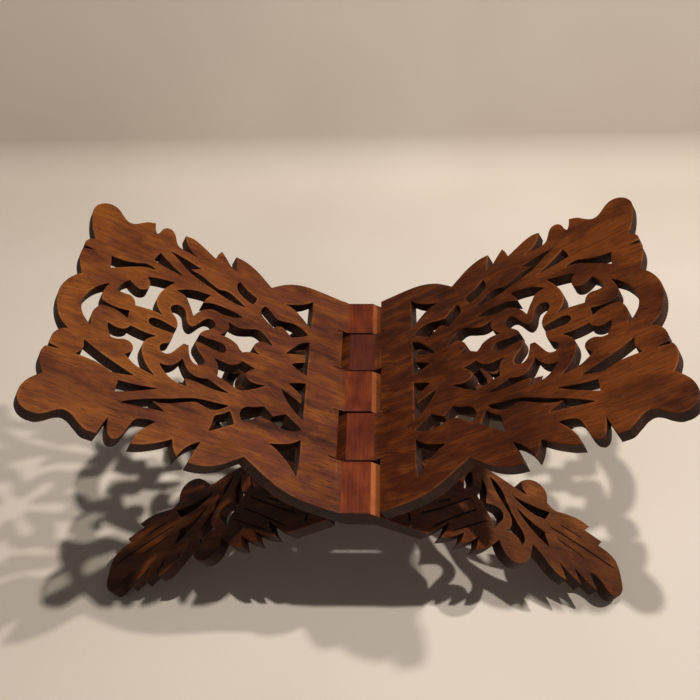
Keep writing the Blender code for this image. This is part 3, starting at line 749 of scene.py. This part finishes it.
def add_face(made, shrunk, ways, tree, worn_tree, veins, spot, face):
    """One flat face of a leaf, hollowed a little by hand planing."""
    vein_points = [point for shape, _ in veins for point in shape]
    clear_of = tree_of(vein_points or [Vector((-FAR_FROM_RIM, 0))])
    inner = face_points(shrunk, ways, tree, clear_of)
    points, depths, triangles = filled(shrunk, veins, inner)
    numbers = {}
    for triangle, slot in triangles:
        for i in triangle:
            if i not in numbers:
                inside = distance_to(tree, points[i])
                rim = min(FAR_FROM_RIM, distance_to(worn_tree, points[i]))
                spread = Vector((points[i].x, points[i].y, OTHER_FACE * face))
                wave = 0.5 + 0.5 * noise.noise(spread / PLANING_WAVE)
                hollow = HAND_PLANING * wave * min(1, max(0, inside - HOLLOW_FROM) / HOLLOW_SLOPE)
                place = spot(points[i], depths[i] + hollow, face)
                numbers[i] = made.point(*place, rim)
        made.face([numbers[i] for i in triangle], slot)


def add_leaf(made, loops, roots, up, side, veins):
    """A wing (up = 1) or leg (up = -1) on the given side of the axis plane."""
    def spot(point, depth, face):
        through = HALF_GAP + depth if face == 0 else LEAF - depth
        return side * through, point.y, up * point.x
    tree = tree_of(samples(loops))
    worn_tree = tree_of(samples(loops, roots))
    ways = []
    shrunk = []
    for loop, loop_roots in zip(loops, roots):
        mitres, radii = loop_rounding(loop, loop_roots, tree)
        add_rim(made, loop, loop_roots, mitres, radii, spot)
        ways.append(mitres)
        shrunk.append([point + way * radius for point, way, radius in zip(loop, mitres, radii)])
    add_face(made, shrunk, ways, tree, worn_tree, [], spot, 0)
    add_face(made, shrunk, ways, tree, worn_tree, veins, spot, 1)


def rounded_corner(before, corner, after):
    """Points of the arc that eases a knuckle's long arris."""
    first = (corner - before).normalized()
    second = (after - corner).normalized()
    turn = first.angle(second)
    start = corner - first * KNUCKLE_ARRIS * math.tan(turn / 2)
    inward = Vector((-first.y, first.x)) * (1 if first.cross(second) > 0 else -1)
    centre = start + inward * KNUCKLE_ARRIS
    end = corner + second * KNUCKLE_ARRIS * math.tan(turn / 2)
    middle = centre + (corner - centre).normalized() * KNUCKLE_ARRIS
    return [start, middle, end]


def knuckle_section(hand, drop):
    """Section of a knuckle in the leaf frame, and the slot of the face after each corner."""
    root = Vector((-HALF_GAP, WINDOW))
    outer = Vector((-LEAF, WINDOW))
    arris = Vector((-LEAF, KNUCKLE_SETBACK + drop))
    meeting = Vector((-HALF_GAP, -KNUCKLE_REACH + drop))
    side = [root, outer] + rounded_corner(outer, arris, meeting) + [meeting]
    slots = [None, FACE, CUT, CUT, CUT, FACE]
    section = side + [-point for point in side]
    return [Vector((-hand * point.x, point.y)) for point in section], slots * 2


def shrunk_section(section):
    """The section at a knuckle's very end, eased everywhere but at its roots."""
    count = len(section)
    middle = count // 2
    turned = sum(a.cross(b) for a, b in zip(section, section[1:] + section[:1]))
    inwards = KNUCKLE_END_ROUNDING * (1 if turned > 0 else -1)
    eased = []
    for i, point in enumerate(section):
        if i % middle < 2:
            eased.append(point)
            continue
        way, _ = mitre(section[i - 1], point, section[(i + 1) % count])
        eased.append(point + way * inwards)
    return eased


def add_knuckle(made, hand, number, front, back):
    """A knuckle from kerf to kerf, open at both roots."""
    section, slots = knuckle_section(hand, KNUCKLE_DROPS[number])
    eased = shrunk_section(section)
    count = len(section)
    middle = count // 2
    places = ring_places(front, back)
    rows = []
    for i, place in enumerate(places):
        depth = min(i, len(places) - 1 - i)
        shape = eased if depth == 0 else section
        row = []
        for j, corner in enumerate(shape):
            # painted highlight: the outer strip's points carry it as negative stain
            rubbing_and_highlight = KNUCKLE_STRIP_HIGHLIGHT[number] if j % middle in (1, 2) else 0.0
            row.append(made.point(corner.x, place, corner.y, KNUCKLE_RIMS[depth],
                                  KNUCKLE_STAINS[number] - rubbing_and_highlight))
        rows.append(row)
    for near, far in zip(rows, rows[1:]):
        for i in range(count):
            j = (i + 1) % count
            if slots[i] is not None:
                made.face((near[i], near[j], far[j], far[i]), slots[i])
    made.face(rows[0], SAWN)
    made.face(rows[-1], SAWN)


def mesh_of(name, made):
    """The made wood as a mesh, with each face's slot and the finish's values at each point."""
    mesh = bpy.data.meshes.new(name)
    mesh.from_pydata(made.points, [], made.faces)
    mesh.polygons.foreach_set("material_index", made.slots)
    for title, values in (("rim", made.rims), ("stain_and_highlight", made.stains_and_highlights)):
        mesh.attributes.new(title, "FLOAT", "POINT").data.foreach_set("value", values)
    return mesh


def trimmed(mesh, place):
    """Weld the mesh, cut it off level with the floor, and face it outwards."""
    shape = bmesh.new()
    shape.from_mesh(mesh)
    bmesh.ops.remove_doubles(shape, verts=shape.verts, dist=WELD)
    down = place.inverted()
    everything = shape.verts[:] + shape.edges[:] + shape.faces[:]
    cut = bmesh.ops.bisect_plane(shape, geom=everything, dist=WELD, plane_co=down @ Vector(),
                                 plane_no=down.to_3x3() @ Vector((0, 0, 1)), clear_inner=True)
    rim = [item for item in cut["geom_cut"] if isinstance(item, bmesh.types.BMEdge)]
    bmesh.ops.edgeloop_fill(shape, edges=rim, mat_nr=SAWN)
    bmesh.ops.triangulate(shape, faces=[face for face in shape.faces if len(face.verts) > 4])
    bmesh.ops.recalc_face_normals(shape, faces=shape.faces)
    shape.to_mesh(mesh)
    shape.free()


def half(name, body, node, slot, hand, owned, finishes):
    """One half of the stand: hand = -1 has its wing on the left, +1 on the right."""
    made = Wood()
    wing, wing_roots = leaf_loops(wing_drawings(), DRAWN_WING, WING_REACH, owned, 1)
    leg, leg_roots = leaf_loops(leg_drawings(), DRAWN_LEG, LEG_REACH, owned, -1)
    add_leaf(made, wing, wing_roots, 1, hand, [])
    add_leaf(made, leg, leg_roots, -1, -hand, leg_veins())
    for number, front, back in knuckle_spans(owned):
        add_knuckle(made, hand, number, front, back)
    place = Matrix.Translation(HINGE / MM) @ Matrix.Rotation(math.radians(hand * FOLD), 4, "Y")
    mesh = mesh_of(name, made)
    trimmed(mesh, place)
    leaf = mesh.attributes.new("leaf", "FLOAT_VECTOR", "POINT")
    leaf.data.foreach_set("vector", [value for vertex in mesh.vertices for value in vertex.co])
    mesh.transform(Matrix.Scale(MM, 4) @ place)
    for finish in finishes:
        mesh.materials.append(finish)
    mesh.shade_smooth()
    mesh.set_sharp_from_angle(angle=math.radians(CREASE))
    piece = bpy.data.objects.new(name, mesh)
    bpy.context.scene.collection.objects.link(piece)
    shading = piece.modifiers.new("flat_faces_stay_flat", "WEIGHTED_NORMAL")
    shading.keep_sharp = True
    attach(piece, body)
    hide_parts(node)


# ---- finishes ------------------------------------------------------------------------------
# Numbered inputs: MapRange takes 0 the value, 1 and 2 its range, 3 and 4 what that becomes.
# Mix takes 0 the share of the second colour, 6 and 7 the colours.  Sizes of grain are in
# millimetres; pores, fibres and saw marks are drawn about three times too coarse, to show.

def linear(hexcode):
    """An sRGB hex colour as linear RGBA."""
    channels = [int(hexcode[i:i + 2], 16) / 255 for i in (0, 2, 4)]
    flat = [c / 12.92 if c <= 0.04045 else ((c + 0.055) / 1.055) ** 2.4 for c in channels]
    return (*flat, 1)


def add(tree, kind, inputs=None, ramp=None, **settings):
    """Add a shader node with its settings, its colour stops, and its inputs set or linked."""
    made = tree.nodes.new("ShaderNode" + kind)
    for name, value in settings.items():
        setattr(made, name, value)
    for name, value in (inputs or {}).items():
        if isinstance(value, bpy.types.NodeSocket):
            tree.links.new(value, made.inputs[name])
        else:
            made.inputs[name].default_value = value
    if ramp:
        stops = made.color_ramp.elements
        while len(stops) < len(ramp):
            stops.new(1)
        for stop, (place, hexcode) in zip(stops, ramp):
            stop.position = place
            stop.color = linear(hexcode)
    return made.outputs


def new_finish(name, **constants):
    """A material with its shader's plain values set, its node tree and its shader."""
    finish = bpy.data.materials.new(name)
    finish.use_nodes = True
    tree = finish.node_tree
    shader = tree.nodes["Principled BSDF"]
    for title, value in constants.items():
        shader.inputs[title.replace("_", " ")].default_value = value
    return finish, tree, shader


def grain_noise(tree, leaf, shift, across, along, detail, through=None):
    """Noise drawn out along the leaf: sizes in millimetres across the grain and along it."""
    scale = (1 / (through or across), 1 / across, 1 / along)
    stretched = add(tree, "Mapping", {"Vector": leaf, "Scale": scale, "Location": shift})[0]
    return add(tree, "TexNoise", {"Vector": stretched, "Scale": 1.0, "Detail": detail,
                                  "Roughness": 0.55})[0]


def wandering(tree, leaf, shift):
    """Leaf coordinates pushed about a little, so that the grain wanders round knots."""
    scale = tuple(1 / size for size in KNOT_SIZES)
    sway = add(tree, "Mapping", {"Vector": leaf, "Scale": scale, "Location": shift})[0]
    push = add(tree, "TexNoise", {"Vector": sway, "Scale": 1.0, "Detail": 1.5})[1]
    centred = add(tree, "VectorMath", {0: push, 1: (0.5, 0.5, 0.5)}, operation="SUBTRACT")[0]
    return add(tree, "VectorMath", {0: centred, 1: KNOT_PUSH, 2: leaf},
               operation="MULTIPLY_ADD")[0]


def sheesham_varnished(name, seed, dark, middle, warm, worn):
    """Sheesham planed by hand and varnished: satin, with dark lines along the grain.

    The eye sees red-brown heartwood streaked darker, short open pores, orange where hands have
    worn the ends and the arrises, a broken satin shine, and a painted highlight on knuckle strips.
    """
    finish, tree, shader = new_finish(name, IOR=1.5, Specular_IOR_Level=VARNISH_SHINE)
    leaf = add(tree, "Attribute", attribute_name="leaf")[1]
    rim = add(tree, "Attribute", attribute_name="rim")[2]
    stain_and_highlight = add(tree, "Attribute", attribute_name="stain_and_highlight")[2]
    shift = (seed, 3 * seed, 7 * seed)
    drift = wandering(tree, leaf, shift)
    figure = grain_noise(tree, drift, shift, across=13, along=170, detail=4.0)
    lines = grain_noise(tree, drift, shift, across=3.2, along=120, detail=3.0)
    fibre = grain_noise(tree, drift, shift, across=1.2, along=20, detail=2.0)
    pores = grain_noise(tree, leaf, shift, across=0.8, along=6, detail=1.0)
    blotch = grain_noise(tree, leaf, shift, across=26, along=44, detail=3.0)
    mottle = grain_noise(tree, drift, shift, across=9, along=22, detail=3.0)

    colour = add(tree, "ValToRGB", {0: figure},
                 ramp=[(0.26, dark), (0.45, middle), (0.6, middle), (0.78, warm)])[0]
    along = add(tree, "SeparateXYZ", {0: leaf})[2]
    from_hinge = add(tree, "Math", {0: along}, operation="ABSOLUTE")[0]
    ends = add(tree, "MapRange", {0: from_hinge, 1: HANDLED_FROM, 2: HANDLED_TO})[0]
    uneven = add(tree, "MapRange", {0: blotch, 1: 0.38, 2: 0.58, 3: 0.15, 4: 1.0})[0]
    aged = add(tree, "Math", {0: ends, 1: uneven}, operation="MULTIPLY")[0]
    patches = add(tree, "MapRange", {0: mottle, 1: 0.47, 2: 0.64, 3: 0.0, 4: 0.8})[0]
    faded = add(tree, "Math", {0: aged, 1: patches}, operation="MAXIMUM")[0]
    colour = add(tree, "Mix", {0: faded, 6: colour, 7: linear(warm)}, data_type="RGBA")[2]
    dark_lines = add(tree, "MapRange", {0: lines, 1: 0.54, 2: 0.72, 3: 0.0, 4: 0.4})[0]
    colour = add(tree, "Mix", {0: dark_lines, 6: colour, 7: linear(dark)}, data_type="RGBA")[2]
    shade = add(tree, "ValToRGB", {0: fibre}, ramp=[(0.3, "CFC8C3"), (0.7, "FFFFFF")])[0]
    colour = add(tree, "Mix", {0: 1.0, 6: colour, 7: shade}, data_type="RGBA",
                 blend_type="MULTIPLY")[2]
    open_pores = add(tree, "MapRange", {0: pores, 1: 0.6, 2: 0.72, 3: 0.0, 4: 0.6})[0]
    colour = add(tree, "Mix", {0: open_pores, 6: colour, 7: linear("200C06")},
                 data_type="RGBA")[2]
    arris = add(tree, "MapRange", {0: rim, 1: 0.0, 2: 1.2, 3: 1.0, 4: 0.0})[0]
    rubbing_and_highlight = add(tree, "MapRange", {0: blotch, 1: 0.45, 2: 0.65, 3: 0.0, 4: 0.45})[0]
    wear = add(tree, "Math", {0: arris, 1: rubbing_and_highlight}, operation="MULTIPLY")[0]
    colour = add(tree, "Mix", {0: wear, 6: colour, 7: linear(worn)}, data_type="RGBA")[2]
    # Painted highlight: negative values on the knuckles' outer strips lighten them to pale orange.
    painted_strip_highlight = add(tree, "MapRange", {0: stain_and_highlight, 1: 0.0, 2: -0.8, 3: 0.0, 4: 1.0})[0]
    colour = add(tree, "Mix", {0: painted_strip_highlight, 6: colour, 7: linear("A25A30")}, data_type="RGBA")[2]
    cloud = add(tree, "ValToRGB", {0: blotch}, ramp=[(0.36, "D4CECA"), (0.56, "FFFFFF")])[0]
    colour = add(tree, "Mix", {0: 1.0, 6: colour, 7: cloud}, data_type="RGBA",
                 blend_type="MULTIPLY")[2]
    tree.links.new(colour, shader.inputs["Base Color"])
    satin = add(tree, "MapRange", {0: figure, 1: 0.3, 2: 0.7, 3: 0.58, 4: 0.44})[0]
    tree.links.new(satin, shader.inputs["Roughness"])

    brushed = grain_noise(tree, leaf, shift, across=2.4, along=9, detail=3.0)
    normal = add(tree, "Bump", {"Height": brushed, "Distance": 0.4 * MM, "Strength": 0.5})[0]
    normal = add(tree, "Bump", {"Height": fibre, "Distance": 0.2 * MM, "Strength": 0.5,
                                "Normal": normal})[0]
    normal = add(tree, "Bump", {"Height": pores, "Distance": 0.2 * MM, "Strength": 0.4,
                                "Normal": normal}, invert=True)[0]
    tree.links.new(normal, shader.inputs["Normal"])
    return finish


def sheesham_sawn(name, seed):
    """The walls of the fretwork: left as the saw cut them, then stained nearly black.

    The eye sees dark matt edges with fine marks through the board's thickness.
    """
    finish, tree, shader = new_finish(name, IOR=1.5, Roughness=0.65, Specular_IOR_Level=0.25)
    leaf = add(tree, "Attribute", attribute_name="leaf")[1]
    shift = (seed, 5 * seed, 2 * seed)
    strokes = grain_noise(tree, leaf, shift, across=0.9, along=0.9, through=14, detail=2.0)
    blotch = grain_noise(tree, leaf, shift, across=12, along=18, detail=2.0)
    colour = add(tree, "ValToRGB", {0: strokes}, ramp=[(0.3, "1C0B05"), (0.7, "3E1C0E")])[0]
    paler = add(tree, "MapRange", {0: blotch, 1: 0.5, 2: 0.75, 3: 0.0, 4: 0.55})[0]
    colour = add(tree, "Mix", {0: paler, 6: colour, 7: linear("56301B")}, data_type="RGBA")[2]
    tree.links.new(colour, shader.inputs["Base Color"])
    normal = add(tree, "Bump", {"Height": strokes, "Distance": 0.5 * MM, "Strength": 0.6})[0]
    tree.links.new(normal, shader.inputs["Normal"])
    return finish


def sheesham_chiselled(name, seed):
    """The tops of the knuckles: chiselled across the grain, so they drank more stain.

    The eye sees even red-brown faces, fine tool lines along the hinge, and dirt beside the kerfs.
    """
    finish, tree, shader = new_finish(name, IOR=1.5, Specular_IOR_Level=VARNISH_SHINE)
    leaf = add(tree, "Attribute", attribute_name="leaf")[1]
    rim = add(tree, "Attribute", attribute_name="rim")[2]
    stain_and_highlight = add(tree, "Attribute", attribute_name="stain_and_highlight")[2]
    shift = (4 * seed, seed, 6 * seed)
    tooling = grain_noise(tree, leaf, shift, across=38, along=1.3, through=1.3, detail=3.0)
    blotch = grain_noise(tree, leaf, shift, across=22, along=9, detail=3.0)
    colour = add(tree, "ValToRGB", {0: blotch},
                 ramp=[(0.32, "561F0D"), (0.5, "6A2A12"), (0.7, "7E3A18")])[0]
    shade = add(tree, "ValToRGB", {0: tooling}, ramp=[(0.32, "DAD5D1"), (0.66, "FFFFFF")])[0]
    colour = add(tree, "Mix", {0: 1.0, 6: colour, 7: shade}, data_type="RGBA",
                 blend_type="MULTIPLY")[2]
    soaked = add(tree, "Math", {0: stain_and_highlight, 1: 0.6}, operation="MULTIPLY")[0]
    colour = add(tree, "Mix", {0: soaked, 6: colour, 7: linear("3A1C18")}, data_type="RGBA")[2]
    dirt = add(tree, "MapRange", {0: rim, 1: 0.0, 2: KERF_STAIN, 3: 0.55, 4: 0.0})[0]
    colour = add(tree, "Mix", {0: dirt, 6: colour, 7: linear("2C120A")}, data_type="RGBA")[2]
    tree.links.new(colour, shader.inputs["Base Color"])
    satin = add(tree, "MapRange", {0: blotch, 1: 0.3, 2: 0.7, 3: 0.62, 4: 0.5})[0]
    tree.links.new(satin, shader.inputs["Roughness"])
    normal = add(tree, "Bump", {"Height": tooling, "Distance": 0.5 * MM, "Strength": 0.5})[0]
    tree.links.new(normal, shader.inputs["Normal"])
    return finish


def paper(name):
    """Matt cream studio paper with the faintest tooth."""
    finish, tree, shader = new_finish(name, Roughness=0.9, Specular_IOR_Level=0.15)
    place = add(tree, "TexCoord")[3]
    cloud = add(tree, "TexNoise", {"Vector": place, "Scale": PAPER_CLOUDS, "Detail": 2.0})[0]
    colour = add(tree, "ValToRGB", {0: cloud}, ramp=[(0.35, "D0C7BC"), (0.65, "DAD2C8")])[0]
    tree.links.new(colour, shader.inputs["Base Color"])
    tooth = add(tree, "TexNoise", {"Vector": place, "Scale": PAPER_TOOTH, "Detail": 2.0})[0]
    normal = add(tree, "Bump", {"Height": tooth, "Distance": 0.4 * MM, "Strength": 0.25})[0]
    tree.links.new(normal, shader.inputs["Normal"])
    return finish


# ---- studio --------------------------------------------------------------------------------

def sweep():
    """A sheet of paper that lies under the stand and curves up behind it."""
    profile = [(SWEEP_FRONT, 0.0), (SWEEP_BEND, 0.0)]
    for k in range(1, SWEEP_STEPS + 1):
        angle = math.radians(SWEEP_LEAN) * k / SWEEP_STEPS
        profile.append((SWEEP_BEND + SWEEP_RADIUS * math.sin(angle),
                        SWEEP_RADIUS * (1 - math.cos(angle))))
    lean = math.radians(SWEEP_LEAN)
    end = profile[-1]
    profile.append((end[0] + SWEEP_RISE * math.cos(lean), end[1] + SWEEP_RISE * math.sin(lean)))
    points = [(x, y, z) for y, z in profile for x in (-SWEEP_HALF, SWEEP_HALF)]
    faces = [(2 * i, 2 * i + 1, 2 * i + 3, 2 * i + 2) for i in range(len(profile) - 1)]
    mesh = bpy.data.meshes.new("paper_sweep")
    mesh.from_pydata(points, [], faces)
    mesh.shade_smooth()
    mesh.materials.append(paper("cream_paper_matt"))
    floor = bpy.data.objects.new("paper_sweep", mesh)
    bpy.context.scene.collection.objects.link(floor)


def lamp(name, place, power, size, colour):
    """A square soft light that faces the stand's hinge."""
    light = bpy.data.lights.new(name, "AREA")
    light.energy = power
    light.size = size
    light.color = linear(colour)[:3]
    holder = bpy.data.objects.new(name, light)
    holder.location = HINGE + Vector(place)
    holder.rotation_euler = (-Vector(place)).to_track_quat("-Z", "Y").to_euler()
    bpy.context.scene.collection.objects.link(holder)


def studio():
    """Paper, lights and a dim warm room."""
    sweep()
    for name, (place, power, size, colour) in LAMPS.items():
        lamp(name, place, power, size, colour)
    world = bpy.data.worlds.new("dim_room")
    world.use_nodes = True
    backdrop = world.node_tree.nodes["Background"]
    backdrop.inputs["Color"].default_value = linear(ROOM_COLOUR)
    backdrop.inputs["Strength"].default_value = ROOM_LIGHT
    bpy.context.scene.world = world
    bpy.context.scene.view_settings.view_transform = "Standard"


def camera():
    """A camera above and in front of the stand, looking down into its valley."""
    pitch, yaw, roll = (math.radians(angle) for angle in (CAMERA_DOWN, CAMERA_LEFT, CAMERA_TILT))
    right = Vector((math.cos(yaw), math.sin(yaw), 0))
    ahead = Vector((-math.sin(yaw) * math.cos(pitch), math.cos(yaw) * math.cos(pitch),
                    -math.sin(pitch)))
    up = right.cross(ahead)
    turned = right * math.cos(roll) + up * math.sin(roll)
    upright = up * math.cos(roll) - right * math.sin(roll)
    lens = bpy.data.cameras.new("camera")
    lens.lens = CAMERA_LENS
    lens.sensor_width = CAMERA_SENSOR
    lens.clip_start = CAMERA_NEAREST
    holder = bpy.data.objects.new("camera", lens)
    turn = Matrix((turned, upright, -ahead)).transposed().to_4x4()
    holder.matrix_world = Matrix.Translation(HINGE + Vector(CAMERA_PLACE)) @ turn
    bpy.context.scene.collection.objects.link(holder)
    bpy.context.scene.camera = holder


def main():
    """Both halves with their finishes, in the order of the material slots, then the studio."""
    left = [sheesham_varnished("sheesham_varnished_left", 11, *LEFT_COLOURS),
            sheesham_sawn("sheesham_sawn_stained_left", 5),
            sheesham_chiselled("sheesham_chiselled_left", 3)]
    right = [sheesham_varnished("sheesham_varnished_right", 47, *RIGHT_COLOURS),
             sheesham_sawn("sheesham_sawn_stained_right", 23),
             sheesham_chiselled("sheesham_chiselled_right", 19)]
    half("left_half_wood", "left_half", "left_wing_half", "left_wood", -1, 0, left)
    half("right_half_wood", "right_half", "right_wing_half", "right_wood", 1, 1, right)
    studio()
    camera()


main()
